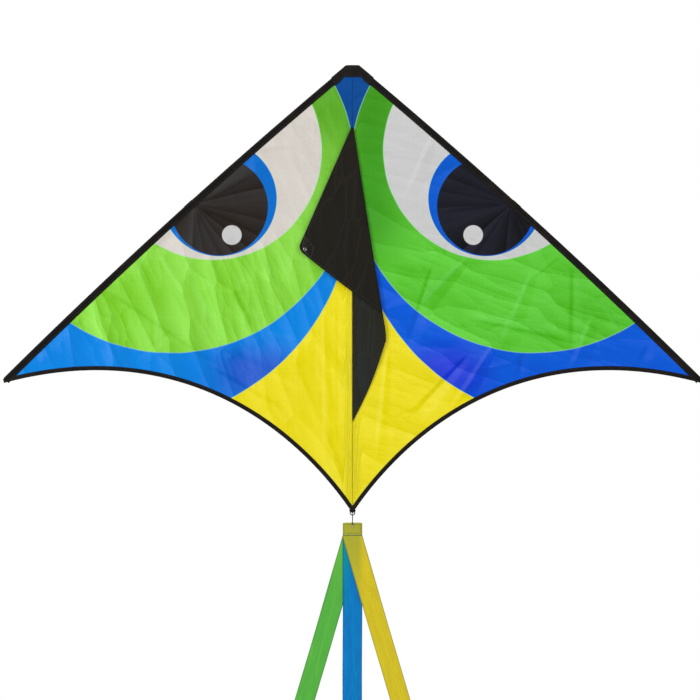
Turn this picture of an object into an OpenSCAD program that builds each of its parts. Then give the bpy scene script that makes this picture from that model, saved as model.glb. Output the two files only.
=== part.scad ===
// Single-line delta kite with a soft triangular keel and a tail of three ribbons.
// Frame: X along the span, Z up towards the nose, front of the sail faces -Y.
// Origin: middle of the nose's flat top edge, in the plane of the sail. Sizes in millimetres.

/* [Sail outline] */
// Half of the wing span, from the middle to the outer end of a leading edge
half_span = 698; // [500:1:900]
// How far the wing tip lies below the nose
tip_drop = 624; // [450:1:760]
// How far the rear corner of the sail lies below the nose
keel_height = 892.5; // [800:0.5:1150]
// Half of the nose's flat top edge
nose_half = 13; // [11:0.5:18]
// How far a leading edge bows outwards from straight
edge_bow = 9.8; // [4:0.1:20]
// Start direction of the trailing edge, sideways
te_start_x = 123; // [80:1:170]
// Start direction of the trailing edge, upwards
te_start_z = 183; // [120:1:230]
// End direction of the trailing edge, sideways
te_end_x = 341; // [240:1:420]
// End direction of the trailing edge, upwards
te_end_z = 91; // [50:1:120]
// Thickness of the sail cloth
sail_t = 0.6; // [0.4:0.1:1]
// Thickness of the sewn bands at the edges and the middle
band_t = 1.2; // [1:0.1:1.6]

/* [Edges] */
// Width of the sleeve along a leading edge
sleeve_w = 14.5; // [12:0.5:20]
// Wall of the sleeve and of the spine pocket
sleeve_wall = 0.5; // [0.4:0.1:0.8]
// Width of the band along the trailing edge
binding_w = 8.5; // [6:0.5:14]
// Length along the leading edge that stays flat at the nose
flat_nose = 44; // [36:1:70]
// Depth of the nose patch at the middle
patch_depth = 22; // [16:1:30]
// Width of the nose patch's arms along the leading edges
patch_arm = 30; // [22:1:34]
// Thickness of the nose patch
patch_t = 0.6; // [0.4:0.1:1]

/* [Rods] */
// Diameter of the leading edge rods
spar_d = 5; // [4:0.5:6]
// Diameter of the spine rod
spine_d = 5; // [4:0.5:6]
// Diameter of the spreader rod
spreader_d = 5; // [4:0.5:6]
// Wall of the rods' end caps
cap_wall = 0.8; // [0.6:0.1:1.2]
// Wall of the spine rod's end caps
spine_cap_wall = 1.5; // [1:0.1:2]
// Length of an end cap
cap_l = 14; // [10:1:20]
// Length of the spine rod's end caps
spine_cap_l = 24; // [16:1:30]
// Depth of the blind end of a cap
cap_end = 3; // [2:0.5:5]
// Gap between a cap and the cloth around it
cap_gap = 0.2; // [0.2:0.1:0.5]
// Gap from the end of a leading edge rod's cap to the end of its sleeve
spar_end_gap = 6; // [4:1:20]
// Gap from the rear cap of the spine to the rear corner of the sail
spine_end_gap = 12; // [12:1:20]

/* [Middle seam and wing hinges] */
// Distance of each wing's fold line from the middle
fold_x = 8; // [7:0.1:10]
// Gap from the fold line to the middle seam
seam_gap = 0.6; // [0.5:0.1:1]
// Gap from the fold line to the wing
wing_gap = 0.8; // [0.7:0.1:1.2]
// Half width of the spine pocket's sewn edges
pocket_half = 6.2; // [5.6:0.1:6.4]

/* [Spreader] */
// How far the spreader lies below the nose
spreader_drop = 278; // [200:1:340]
// Gap from the spine pocket to the spreader rod
spreader_gap = 1.1; // [0.8:0.1:3]
// Gap around the spreader's cap in its cradle
cradle_gap = 0.4; // [0.3:0.1:0.6]
// Gap from the spreader's end to the cradle's end wall
cradle_end_gap = 3; // [2.8:0.1:5]
// Wall of the cradle
cradle_wall = 2; // [1.5:0.1:3]
// Length of the cradle's channel
cradle_l = 17; // [12:1:24]
// Length of the clip on the leading edge rod
clip_l = 20; // [14:1:26]
// Wall of the clip on the leading edge rod
clip_wall = 2.3; // [1.8:0.1:3]
// Gap between a rod and the clip or the cradle's foot
clip_gap = 0.1; // [0.1:0.05:0.3]

/* [Keel] */
// How far the keel's front corner lies below the nose
keel_top = 118; // [80:1:160]
// How far the keel's rear corner lies below the nose
keel_bottom = 712; // [640:1:760]
// Angle between the keel's fold and the middle seam
keel_fold_a = 8.5; // [7:0.1:10]
// Length of the fold on the inner panel
keel_fold_in = 441; // [380:1:470]
// Length of the fold on the outer panel
keel_fold_out = 378; // [330:1:378]
// Sideways position of the keel's tip while folded over
keel_tip_x = 103; // [80:1:115]
// How far the keel's tip lies below the nose while folded over
keel_tip_z = 368; // [340:1:390]
// Thickness of the keel cloth
keel_t = 0.6; // [0.4:0.1:0.8]
// Distance between the two folded panels, middle to middle
keel_stack = 2.7; // [2.4:0.1:3.2]
// Gap from the seam to the inner panel
keel_gap = 0.9; // [0.8:0.1:1.4]
// Size of the patch at the keel's tip
keel_patch = 34; // [24:1:44]
// Bore of the eyelet
eyelet_bore = 4; // [3:0.1:4.5]
// Diameter of the eyelet's flange
eyelet_d = 6.4; // [6:0.1:8]
// Thickness of the eyelet's flange
eyelet_t = 0.5; // [0.3:0.1:0.7]
// Wall of the eyelet's barrel
eyelet_wall = 0.4; // [0.3:0.05:0.5]
// Distance of the eyelet from the keel's tip, sideways
eyelet_dx = 8; // [7:0.5:12]

/* [Tail] */
// Mean radius of the cord loop at the rear corner
loop_r = 4.5; // [4:0.1:6]
// Thickness of the loop's cord
loop_d = 2.2; // [1.6:0.1:2.4]
// Thickness of the link's wire
link_wire = 1.8; // [1.4:0.1:2]
// Gap between the loop's cord and the link's wire
link_gap = 0.35; // [0.3:0.05:0.6]
// Distance between the link's two round ends
link_l = 18.8; // [14:0.2:30]
// Width of the tail's ribbons
ribbon_w = 39; // [25:1:46]
// Length of a ribbon below the head
ribbon_l = 750; // [400:10:1200]
// Thickness of a ribbon
ribbon_t = 0.5; // [0.4:0.1:0.8]
// Distance between two ribbons, middle to middle
ribbon_gap = 1.4; // [1.2:0.1:2]
// Angle of the two outer ribbons
ribbon_fan = 16.2; // [8:0.1:22]
// Height of the sewn head above the ribbons
head_h = 26; // [20:1:34]
// Thickness of the sewn head
head_t = 2; // [1.6:0.1:2.2]
// Height of the head above the link's wire
head_rim = 6.1; // [5:0.1:9]
// Gap around the wire in the head's hole
hole_gap = 0.65; // [0.5:0.05:0.9]
// Distance from a ribbon's hinge line to the cloth on each side
ribbon_hinge_gap = 0.9; // [0.7:0.1:1.2]

/* [Hidden] */

eps = 0.01;
arc_fn = 1800;
far = 1400;

// Leading edge: an arc through the nose corner and the wing tip.
nose_pt = [nose_half, 0];
tip_pt = [half_span, -tip_drop];
edge_v = tip_pt - nose_pt;
edge_l = norm(edge_v);
edge_u = edge_v / edge_l;
edge_n = [edge_u[1], -edge_u[0]];
edge_r = (edge_l * edge_l / 4 + edge_bow * edge_bow) / (2 * edge_bow);
edge_c = (nose_pt + tip_pt) / 2 + edge_n * (edge_r - edge_bow);
edge_a = 2 * asin(edge_l / 2 / edge_r);
mid_a = atan2(-edge_n[1], -edge_n[0]);
start_a = mid_a + edge_a / 2;
function along(d) = d / edge_r * 180 / PI;
function on_edge(d, inset) = let (a = start_a - along(d))
  edge_c + (edge_r - inset) * [cos(a), sin(a)];
function edge_x(z, inset) = edge_c[0] + sqrt(pow(edge_r - inset, 2) - pow(z - edge_c[1], 2));
edge_arc = edge_a * PI / 180 * edge_r;

// Trailing edge: a cubic curve from the rear corner to the wing tip.
te_p = [[0, -keel_height - 2], [te_start_x, -keel_height - 2 + te_start_z],
  [half_span - te_end_x, -tip_drop - 10 + te_end_z], [half_span - 1, -tip_drop - 10]];
function te(t) = pow(1 - t, 3) * te_p[0] + 3 * pow(1 - t, 2) * t * te_p[1]
  + 3 * (1 - t) * t * t * te_p[2] + pow(t, 3) * te_p[3];
function te_dir(t) = let (v = 3 * pow(1 - t, 2) * (te_p[1] - te_p[0])
  + 6 * (1 - t) * t * (te_p[2] - te_p[1]) + 3 * t * t * (te_p[3] - te_p[2])) v / norm(v);
function te_in(t, w) = te(t) + w * [-te_dir(t)[1], te_dir(t)[0]];
te_n = 30;
te_ts = [for (i = [0:te_n]) i / te_n];

seam_half = fold_x - seam_gap;
wing_x = fold_x + wing_gap;

spar_r = spar_d / 2;
tube_in = spar_r + cap_wall + cap_gap;
tube_r = tube_in + sleeve_wall;
spar_inset = tube_r;
spar_from = flat_nose + 6;
spar_to = edge_arc - spar_end_gap;

spine_r = spine_d / 2;
spine_cap_r = spine_r + spine_cap_wall;
pocket_in = spine_cap_r + cap_gap;
pocket_r = pocket_in + sleeve_wall;
spine_y = band_t / 2 + pocket_r + 0.1;
pocket_back = spine_y + pocket_r;
spine_top = -12;
spine_end = -keel_height + spine_end_gap;

spreader_r = spreader_d / 2;
sp_cap_r = spreader_r + cap_wall;
spreader_y = pocket_back + spreader_gap + spreader_r;
spreader_z = -spreader_drop;
chan_r = sp_cap_r + cradle_gap;
sp_seat_x = edge_x(spreader_z, spar_inset);
window_half = clip_l / 2 + 6;
cradle_end = sp_seat_x - 9;
sp_end = cradle_end - cradle_wall - cradle_end_gap;

keel_y = -(band_t / 2 + keel_gap + keel_t / 2);
fold_y = keel_y - keel_stack / 2;
outer_y = keel_y - keel_stack;
keel_u = [sin(keel_fold_a), -cos(keel_fold_a)];
keel_a = [0, -keel_top];
keel_tip = [-keel_tip_x, -keel_tip_z];
eyelet_p = keel_tip + [eyelet_dx, 1];

loop_z = te_p[0][1] + 1;
loop_low = loop_z - loop_r;
link_r = loop_d / 2 + link_gap + link_wire / 2;
link_low = loop_low - link_l;
hole_z = link_low - link_r;
hole_r = link_wire / 2 + hole_gap;
head_top = hole_z + head_rim;
head_low = head_top - head_h;
rib_z = head_low - ribbon_hinge_gap;

// A flat sheet: an outline in X and Z, from y0 to y1.
module slab(y0, y1) { rotate([90, 0, 0]) translate([0, 0, -y1]) linear_extrude(y1 - y0) children(); }
module past(x0, z1 = 0) { translate([x0, -50, z1 - far]) cube([far, 100, far]); }
// A profile swept along the leading edge's arc from d0 to d1. Its x is the inset from the edge.
module along_edge(d0, d1)
  translate([edge_c[0], 0, edge_c[1]]) rotate([90, 0, 0])
    rotate([0, 0, start_a - along(d1)])
      rotate_extrude(angle = along(d1 - d0), $fn = arc_fn) children();
module inside_edge(inset)
  polygon(concat([for (i = [0:48]) on_edge(-30 + (edge_arc + 60) * i / 48, inset)],
    [[half_span, -far], [0, -far], [0, 30]]));
module above_te(w)
  polygon(concat([for (t = te_ts) te_in(t, w)], [[half_span + 40, 60], [-20, 60], [-20, te_in(0, w)[1]]]));
// A band along the leading edge between two insets, through the same stations along the arc.
sleeve_ds = concat([-30, -10, 10, flat_nose - 16],
  [for (i = [0:24]) flat_nose + (edge_arc - flat_nose) * i / 24]);
module edge_band(ds, i0, i1)
  polygon(concat([for (d = ds) on_edge(d, i0)], [for (i = [len(ds) - 1:-1:0]) on_edge(ds[i], i1)]));

// Wing pieces, drawn for the right wing.
module wing_sail() intersection() {
  slab(-sail_t / 2, sail_t / 2) inside_edge(sleeve_w);
  slab(-sail_t, sail_t) above_te(binding_w);
  past(wing_x);
}
module wing_binding() intersection() {
  slab(-band_t / 2, band_t / 2) difference() { above_te(0); above_te(binding_w); }
  slab(-band_t, band_t) inside_edge(sleeve_w);
  past(wing_x);
}
module wing_sleeve() difference() {
  intersection() {
    union() {
      slab(-band_t / 2, band_t / 2) edge_band(sleeve_ds, 0, sleeve_w);
      slab(-tube_r, tube_r) edge_band([for (d = sleeve_ds) if (d >= flat_nose) d], 0, 2 * tube_r);
    }
    past(wing_x);
  }
  slab(-tube_in, tube_in) edge_band([for (i = [0:24]) flat_nose + 3 + (edge_arc + 7 - flat_nose) * i / 24],
    sleeve_wall, 2 * tube_r - sleeve_wall);
  at_seat() translate([-window_half, band_t / 2, -tube_r - 1])
    cube([2 * window_half, tube_r, 2 * tube_r + 2]);
}
module wing_spar() along_edge(spar_from + cap_end, spar_to - cap_end)
  translate([edge_r - spar_inset, 0]) circle(r = spar_r, $fn = 48);
module wing_cap(d0, d1, b0, b1) difference() {
  along_edge(d0, d1) translate([edge_r - spar_inset, 0]) circle(r = spar_r + cap_wall, $fn = 48);
  along_edge(b0, b1) translate([edge_r - spar_inset, 0]) circle(r = spar_r, $fn = 48);
}
module wing_flap() intersection() {
  slab(-band_t / 2 - patch_t, -band_t / 2)
    polygon([[wing_x, 0], nose_pt, on_edge(patch_arm + 6, 0), on_edge(patch_arm + 14, sleeve_w + 2),
      [nose_half, -patch_depth], [wing_x, -patch_depth]]);
  past(wing_x);
}
// Puts a piece on the leading edge rod behind the spreader's end, with x along the rod.
module at_seat() translate([sp_seat_x, 0, spreader_z])
  rotate([0, atan2(sp_seat_x - edge_c[0], spreader_z - edge_c[1]), 0]) children();
module wing_fitting() difference() {
  union() {
    at_seat() intersection() {
      translate([-clip_l / 2, 0, 0]) rotate([0, 90, 0]) cylinder(r = spar_r + clip_wall, h = clip_l, $fn = 48);
      translate([-clip_l / 2 - 1, band_t / 2 + 0.1, -20]) cube([clip_l + 2, 30, 40]);
    }
    translate([cradle_end - 10, band_t / 2 + 0.1, spreader_z - 4.5])
      cube([sp_seat_x - cradle_end + 9, spreader_y - chan_r - 0.1, 9]);
    translate([cradle_end - cradle_wall - cradle_l, spreader_y - chan_r - cradle_wall,
      spreader_z - chan_r - cradle_wall])
      cube([cradle_l + cradle_wall, chan_r + cradle_wall + sp_cap_r, 2 * (chan_r + cradle_wall)]);
  }
  at_seat() translate([-clip_l, 0, 0]) rotate([0, 90, 0])
    cylinder(r = spar_r + clip_gap, h = 2 * clip_l, $fn = 48);
  translate([cradle_end - cradle_wall - cradle_l - 1, spreader_y, spreader_z]) {
    rotate([0, 90, 0]) cylinder(r = chan_r, h = cradle_l + 1, $fn = 48);
    translate([0, 0, -chan_r]) cube([cradle_l + 1, 20, 2 * chan_r]);
  }
}
module spreader_cap() translate([0, spreader_y, spreader_z]) rotate([0, 90, 0]) difference() {
  translate([0, 0, sp_end - cap_l]) cylinder(r = sp_cap_r, h = cap_l, $fn = 48);
  translate([0, 0, sp_end - cap_l - 1]) cylinder(r = spreader_r, h = cap_l - cap_end + 1, $fn = 48);
}

// Middle of the kite.
module center_seam() color("#1f6fc0") intersection() {
  slab(-band_t / 2, band_t / 2) intersection() { above_te(binding_w); mirror([1, 0]) above_te(binding_w); }
  translate([-seam_half, -10, -far]) cube([2 * seam_half, 20, far]);
}
module spine_pocket() color("#2b2b30") difference() {
  union() {
    translate([0, spine_y, spine_end - 1]) cylinder(r = pocket_r, h = spine_top - spine_end + 4, $fn = 64);
    translate([-pocket_half, band_t / 2, spine_end - 1])
      cube([2 * pocket_half, 0.6, spine_top - spine_end + 4]);
  }
  translate([0, spine_y, spine_end - 2]) cylinder(r = pocket_in, h = spine_top - spine_end + 3, $fn = 64);
}
module spine_rod() color("#303236") translate([0, spine_y, spine_end + cap_end])
  cylinder(r = spine_r, h = spine_top - spine_end - 2 * cap_end, $fn = 48);
module spine_cap_nose() color("#3a3a3c") translate([0, spine_y, 0]) difference() {
  translate([0, 0, spine_top - spine_cap_l]) cylinder(r = spine_cap_r, h = spine_cap_l, $fn = 48);
  translate([0, 0, spine_top - spine_cap_l - 1]) cylinder(r = spine_r, h = spine_cap_l - cap_end + 1, $fn = 48);
}
module spine_cap_tail() color("#3a3a3c") translate([0, spine_y, 0]) difference() {
  translate([0, 0, spine_end]) cylinder(r = spine_cap_r, h = spine_cap_l, $fn = 48);
  translate([0, 0, spine_end + cap_end]) cylinder(r = spine_r, h = spine_cap_l, $fn = 48);
}
module nose_patch() color("#26241f") slab(-band_t / 2 - patch_t, -band_t / 2)
  polygon([[-seam_half, 0], [seam_half, 0], [seam_half, -patch_depth], [-seam_half, -patch_depth]]);
module rear_corner() color("#26241f") intersection() {
  slab(-band_t / 2, band_t / 2) difference() {
    intersection() { above_te(0); mirror([1, 0]) above_te(0); }
    intersection() { above_te(binding_w); mirror([1, 0]) above_te(binding_w); }
  }
  translate([-seam_half, -10, -far]) cube([2 * seam_half, 20, far]);
}
module tail_loop() color("#1e1c1a") difference() {
  translate([0, 0, loop_z]) rotate([90, 0, 0])
    rotate_extrude($fn = 64) translate([loop_r, 0]) circle(r = loop_d / 2, $fn = 32);
  slab(-band_t / 2, band_t / 2) intersection() { above_te(0); mirror([1, 0]) above_te(0); }
}

// Spreader.
module spreader_rod() color("#303236") translate([-sp_end + cap_end, spreader_y, spreader_z])
  rotate([0, 90, 0]) cylinder(r = spreader_r, h = 2 * (sp_end - cap_end), $fn = 48);
module spreader_cap_right() color("#3a3a3c") spreader_cap();
module spreader_cap_left() color("#3a3a3c") mirror([1, 0, 0]) spreader_cap();

// Keel: the inner panel hangs on the middle seam, and the outer panel folds back over it.
fold_in = keel_a + keel_fold_in * keel_u;
fold_out = keel_a + keel_fold_out * keel_u;
keel_side = [keel_u[1], -keel_u[0]];
module keel_inner() color("#232120") slab(keel_y - keel_t / 2, keel_y + keel_t / 2)
  polygon([keel_a + [0.6, -8], fold_in + keel_side * 0.5, [0.6, -keel_bottom + 3]]);
module keel_outer() color("#232120") difference() {
  slab(outer_y - keel_t / 2, outer_y + keel_t / 2)
    polygon([keel_a + keel_u * 3 + keel_side * 0.5, keel_tip, fold_out + keel_side * 0.5]);
  eyelet_hole();
}
module eyelet_hole() translate([eyelet_p[0], outer_y - 10, eyelet_p[1]]) rotate([-90, 0, 0])
  cylinder(r = eyelet_bore / 2 + eyelet_wall, h = 20, $fn = 48);
module keel_patch() color("#2a2826") difference() {
  slab(outer_y - keel_t / 2 - patch_t, outer_y - keel_t / 2) intersection() {
    polygon([keel_a + keel_u * 3 + keel_side * 0.5, keel_tip, fold_out + keel_side * 0.5]);
    translate([-keel_tip_x, -keel_tip_z]) square(2 * keel_patch, center = true);
  }
  eyelet_hole();
}
module ring_at(y0, y1, ro, ri) translate([eyelet_p[0], y0, eyelet_p[1]]) rotate([-90, 0, 0])
  difference() {
    cylinder(r = ro, h = y1 - y0, $fn = 48);
    translate([0, 0, -1]) cylinder(r = ri, h = y1 - y0 + 2, $fn = 48);
  }
module keel_eyelet() color("#c9c9cc") union() {
  ring_at(outer_y - keel_t / 2 - patch_t - eyelet_t, outer_y - keel_t / 2 - patch_t,
    eyelet_d / 2, eyelet_bore / 2);
  ring_at(outer_y - keel_t / 2 - patch_t - eyelet_t, outer_y + keel_t / 2 + eyelet_t,
    eyelet_bore / 2 + eyelet_wall, eyelet_bore / 2);
}
module keel_washer() color("#c9c9cc")
  ring_at(outer_y + keel_t / 2, outer_y + keel_t / 2 + eyelet_t, eyelet_d / 2, eyelet_bore / 2 + eyelet_wall);

// Tail: a wire link in the loop, a sewn head on the link, and three ribbons.
module half_link() rotate([90, 0, 90]) rotate_extrude(angle = 180, $fn = 64)
  translate([link_r, 0]) circle(r = link_wire / 2, $fn = 32);
module tail_link() color("#9aa0a6") union() {
  translate([0, 0, loop_low]) half_link();
  translate([0, 0, link_low]) mirror([0, 0, 1]) half_link();
  for (s = [-1, 1]) translate([0, s * link_r, link_low])
    cylinder(r = link_wire / 2, h = link_l, $fn = 32);
}
module tail_head() color("#a8a53c") difference() {
  translate([-ribbon_w / 2, -head_t / 2, head_low]) cube([ribbon_w, head_t, head_h]);
  translate([0, -head_t, hole_z]) rotate([-90, 0, 0]) cylinder(r = hole_r, h = 2 * head_t, $fn = 48);
}
module ribbon(y, a) {
  w = ribbon_w / cos(a) / 2;
  z0 = rib_z - ribbon_hinge_gap;
  d = [sin(a), -cos(a)];
  n = [cos(a), sin(a)];
  slab(y - ribbon_t / 2, y + ribbon_t / 2)
    polygon([[-w, z0], [w, z0], [0, z0] + d * ribbon_l + n * ribbon_w / 2,
      [0, z0] + d * ribbon_l - n * ribbon_w / 2]);
}
module ribbon_blue() color("#0278be") ribbon(0, 0);
module ribbon_yellow() color("#ccb82c") ribbon(-ribbon_gap, ribbon_fan);
module ribbon_green() color("#58b044") ribbon(ribbon_gap, -ribbon_fan);

module sail_right() color("#37a83a") wing_sail();
module sail_left() color("#37a83a") mirror([1, 0, 0]) wing_sail();
module sleeve_right() color("#26241f") wing_sleeve();
module sleeve_left() color("#26241f") mirror([1, 0, 0]) wing_sleeve();
module spar_right() color("#303236") wing_spar();
module spar_left() color("#303236") mirror([1, 0, 0]) wing_spar();
module spar_cap_nose_right() color("#3a3a3c")
  wing_cap(spar_from, spar_from + cap_l, spar_from + cap_end, spar_from + cap_l + 1);
module spar_cap_nose_left() color("#3a3a3c") mirror([1, 0, 0])
  wing_cap(spar_from, spar_from + cap_l, spar_from + cap_end, spar_from + cap_l + 1);
module spar_cap_tip_right() color("#3a3a3c")
  wing_cap(spar_to - cap_l, spar_to, spar_to - cap_l - 1, spar_to - cap_end);
module spar_cap_tip_left() color("#3a3a3c") mirror([1, 0, 0])
  wing_cap(spar_to - cap_l, spar_to, spar_to - cap_l - 1, spar_to - cap_end);
module binding_right() color("#26241f") wing_binding();
module binding_left() color("#26241f") mirror([1, 0, 0]) wing_binding();
module nose_flap_right() color("#26241f") wing_flap();
module nose_flap_left() color("#26241f") mirror([1, 0, 0]) wing_flap();
module fitting_right() color("#2e2e30") wing_fitting();
module fitting_left() color("#2e2e30") mirror([1, 0, 0]) wing_fitting();

center_seam();
spine_pocket();
spine_rod();
spine_cap_nose();
spine_cap_tail();
nose_patch();
rear_corner();
tail_loop();
sail_left();
sleeve_left();
spar_left();
spar_cap_nose_left();
spar_cap_tip_left();
binding_left();
nose_flap_left();
fitting_left();
sail_right();
sleeve_right();
spar_right();
spar_cap_nose_right();
spar_cap_tip_right();
binding_right();
nose_flap_right();
fitting_right();
spreader_rod();
spreader_cap_left();
spreader_cap_right();
keel_inner();
keel_outer();
keel_patch();
keel_eyelet();
keel_washer();
tail_link();
tail_head();
ribbon_blue();
ribbon_yellow();
ribbon_green();
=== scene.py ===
from math import asin, atan2, cos, hypot, pi, radians, sin, sqrt
import bmesh
import bpy
import numpy as np
from mathutils import Matrix, Vector, noise


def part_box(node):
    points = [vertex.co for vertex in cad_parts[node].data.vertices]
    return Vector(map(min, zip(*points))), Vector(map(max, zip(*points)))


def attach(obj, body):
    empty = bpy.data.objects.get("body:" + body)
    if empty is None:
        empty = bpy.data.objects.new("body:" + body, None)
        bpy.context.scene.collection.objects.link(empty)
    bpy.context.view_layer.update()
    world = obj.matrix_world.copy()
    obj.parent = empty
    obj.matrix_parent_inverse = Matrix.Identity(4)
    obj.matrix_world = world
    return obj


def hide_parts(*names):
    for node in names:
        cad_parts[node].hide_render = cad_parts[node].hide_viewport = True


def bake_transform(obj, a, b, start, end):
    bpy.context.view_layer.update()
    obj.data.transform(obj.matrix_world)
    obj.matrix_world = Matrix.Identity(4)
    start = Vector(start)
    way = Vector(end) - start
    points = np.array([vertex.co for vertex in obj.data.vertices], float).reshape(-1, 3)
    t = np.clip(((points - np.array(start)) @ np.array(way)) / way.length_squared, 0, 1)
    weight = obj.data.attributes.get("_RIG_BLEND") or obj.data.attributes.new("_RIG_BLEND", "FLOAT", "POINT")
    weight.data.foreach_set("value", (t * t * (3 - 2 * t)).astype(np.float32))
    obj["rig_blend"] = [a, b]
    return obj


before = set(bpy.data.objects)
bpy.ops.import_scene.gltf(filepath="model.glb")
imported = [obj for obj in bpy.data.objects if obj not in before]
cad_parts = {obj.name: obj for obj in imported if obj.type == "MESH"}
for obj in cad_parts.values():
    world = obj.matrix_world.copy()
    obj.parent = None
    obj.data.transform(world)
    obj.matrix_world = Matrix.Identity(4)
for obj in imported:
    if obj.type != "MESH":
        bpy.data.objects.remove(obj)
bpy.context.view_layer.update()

# Sizes are in metres. X runs along the span, Z up to the nose, and the front of the sail faces -Y.

# ---------------------------------------------------------------- outline of the kite
NOSE_CORNER = Vector((0.013, 0.0))
WING_TIP = Vector((0.698, -0.624))
EDGE_BOW = 0.0098
chord = WING_TIP - NOSE_CORNER
EDGE_RADIUS = (chord.length ** 2 / 4 + EDGE_BOW ** 2) / (2 * EDGE_BOW)
edge_inward = Vector((chord.y, -chord.x)).normalized()
EDGE_CENTRE = (NOSE_CORNER + WING_TIP) / 2 + edge_inward * (EDGE_RADIUS - EDGE_BOW)
EDGE_TURN = 2 * asin(chord.length / 2 / EDGE_RADIUS)
EDGE_LENGTH = EDGE_TURN * EDGE_RADIUS
EDGE_START = atan2(-edge_inward.y, -edge_inward.x) + EDGE_TURN / 2
SLEEVE_WIDTH = 0.0145
SLEEVE_START = 0.002
TUBE_RADIUS = ROD_INSET = 0.004
BINDING_WIDTH = 0.0085
CLOTH_REACH = 0.690
REAR_CORNER = -0.8945
TRAILING_HANDLES = ((0.0, REAR_CORNER), (0.123, -0.7115), (0.357, -0.543), (0.697, -0.634))
SPREADER_Z = -0.278
KEEL_TOP, KEEL_REAR = -0.118, -0.712
RIBBON_WIDTH, RIBBON_LENGTH = 0.039, 0.750
RIBBON_TOP = -0.94085
HEAD_HOLE_Z = -0.91915
HEAD_HOLE_RADIUS = 0.0016
SIGN = {"left": -1, "right": 1}


def on_edge(along, inset=0.0):
    """A point on the leading edge's arc, as X and Z of the right wing."""
    turn = EDGE_START - along / EDGE_RADIUS
    reach = EDGE_RADIUS - inset
    return EDGE_CENTRE.x + reach * cos(turn), EDGE_CENTRE.y + reach * sin(turn)


def edge_height(x, inset):
    return EDGE_CENTRE.y + np.sqrt((EDGE_RADIUS - inset) ** 2 - (x - EDGE_CENTRE.x) ** 2)


def trailing(t, inset=0.0):
    """Points on the trailing edge, moved into the sail by inset."""
    t = np.asarray(t, float)
    p = np.array(TRAILING_HANDLES)[:, None, :]
    k = 1 - t[:, None]
    s = t[:, None]
    at = k ** 3 * p[0] + 3 * k * k * s * p[1] + 3 * k * s * s * p[2] + s ** 3 * p[3]
    way = k * k * (p[1] - p[0]) + 2 * k * s * (p[2] - p[1]) + s * s * (p[3] - p[2])
    way /= np.linalg.norm(way, axis=1)[:, None]
    return at + np.asarray(inset).reshape(-1, 1) * np.stack([-way[:, 1], way[:, 0]], 1)


def ease(low, high, value):
    t = np.clip((value - low) / (high - low), 0, 1)
    return t * t * (3 - 2 * t)


def ripple(x, z, scale, seed):
    """Smooth noise from -1 to 1 at each point."""
    return np.array([noise.noise((a / scale, seed, b / scale)) for a, b in zip(x, z)])


# ---------------------------------------------------------------- making pieces
def cloth_layers(bm):
    """The two values that each point of cloth carries: how far along and how far across the cloth it lies."""
    layers = bm.verts.layers.float
    return [layers.get(name) or layers.new(name) for name in ("run", "across")]


def face_outwards(bm):
    bmesh.ops.recalc_face_normals(bm, faces=bm.faces)


def spread_out(bm, across, along, shape):
    """Lays a grid over the surface that shape gives, as positions, distances along and distances across."""
    run, width = cloth_layers(bm)
    made = bmesh.ops.create_grid(bm, x_segments=across, y_segments=along, size=1.0)["verts"]
    uv = np.array([(v.co.x, v.co.y) for v in made]) * 0.5 + 0.5
    places, runs, widths = shape(uv[:, 0], uv[:, 1])
    for vert, place, r, w in zip(made, places, runs, widths):
        vert.co, vert[run], vert[width] = place, r, w
    return made


def stitch_row(bm, points, pitch=0.0042, thread=1, length=0.0028, thick=0.00026):
    """Stitches of thread at an even pitch along a line of points."""
    points = [Vector(p) for p in points]
    left = pitch / 2
    places = []
    for a, b in zip(points, points[1:]):
        long = (b - a).length
        turn = (b - a).to_track_quat("Z", "Y").to_matrix().to_4x4() if long > 0 else None
        while left < long:
            size = Matrix.Diagonal((thick, thick, length / 2, 1))
            places.append(Matrix.Translation(a.lerp(b, left / long)) @ turn @ size)
            left += pitch
        left -= long
    for k in range(0, len(places), 24):
        row = bmesh.new()
        for place in places[k:k + 24]:
            bmesh.ops.create_uvsphere(row, u_segments=6, v_segments=4, radius=1.0, matrix=place)
        for face in row.faces:
            face.material_index = thread
            face.smooth = True
        sewn = bpy.data.meshes.new("row")
        row.to_mesh(sewn)
        row.free()
        bm.from_mesh(sewn)
        bpy.data.meshes.remove(sewn)


def put_in_scene(name, data):
    placed = bpy.data.objects.new(name, data)
    bpy.context.scene.collection.objects.link(placed)
    return placed


def make(name, bm, finishes, stands_for=(), wall=None, offset=0.0, soft_angle=None):
    """Turns a bmesh into a finished piece that remembers where each point lies on the resting kite."""
    mesh = bpy.data.meshes.new(name)
    bm.to_mesh(mesh)
    bm.free()
    mesh.shade_smooth()
    if soft_angle is not None:
        mesh.set_sharp_from_angle(angle=radians(soft_angle))
    co = np.zeros(len(mesh.vertices) * 3, np.float32)
    mesh.vertices.foreach_get("co", co)
    mesh.attributes.new("rest", "FLOAT_VECTOR", "POINT").data.foreach_set("vector", co)
    for finish in finishes:
        mesh.materials.append(finish)
    piece = put_in_scene(name, mesh)
    if wall:
        shell = piece.modifiers.new("cloth thickness", "SOLIDIFY")
        shell.thickness, shell.offset, shell.use_even_offset = wall, offset, False
    if stands_for:
        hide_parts(*stands_for)
    return piece


def sew_both_faces(bm, line, depth, **stitch):
    """The same row of stitches on the front and the back of a line given as X and Z."""
    for face in (-1, 1):
        stitch_row(bm, [(x, face * depth, z) for x, z in line], **stitch)


def mirror_for(side, places):
    places[:, 0] *= SIGN[side]
    return places


def between_corners(line, where):
    """Points on a line of corners, at parts of its length from 0 to 1."""
    step = where * (len(line) - 1)
    return np.stack([np.interp(step, range(len(line)), line[:, i]) for i in (0, 1)], 1)


def bend_beside_spine(piece, side):
    """Cloth that crosses from the spine to a wing bends in a narrow band beside the middle seam."""
    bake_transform(piece, "spine", "wing_" + side, start=(SIGN[side] * 0.002, 0, 0), end=(SIGN[side] * 0.014, 0, 0))


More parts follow.
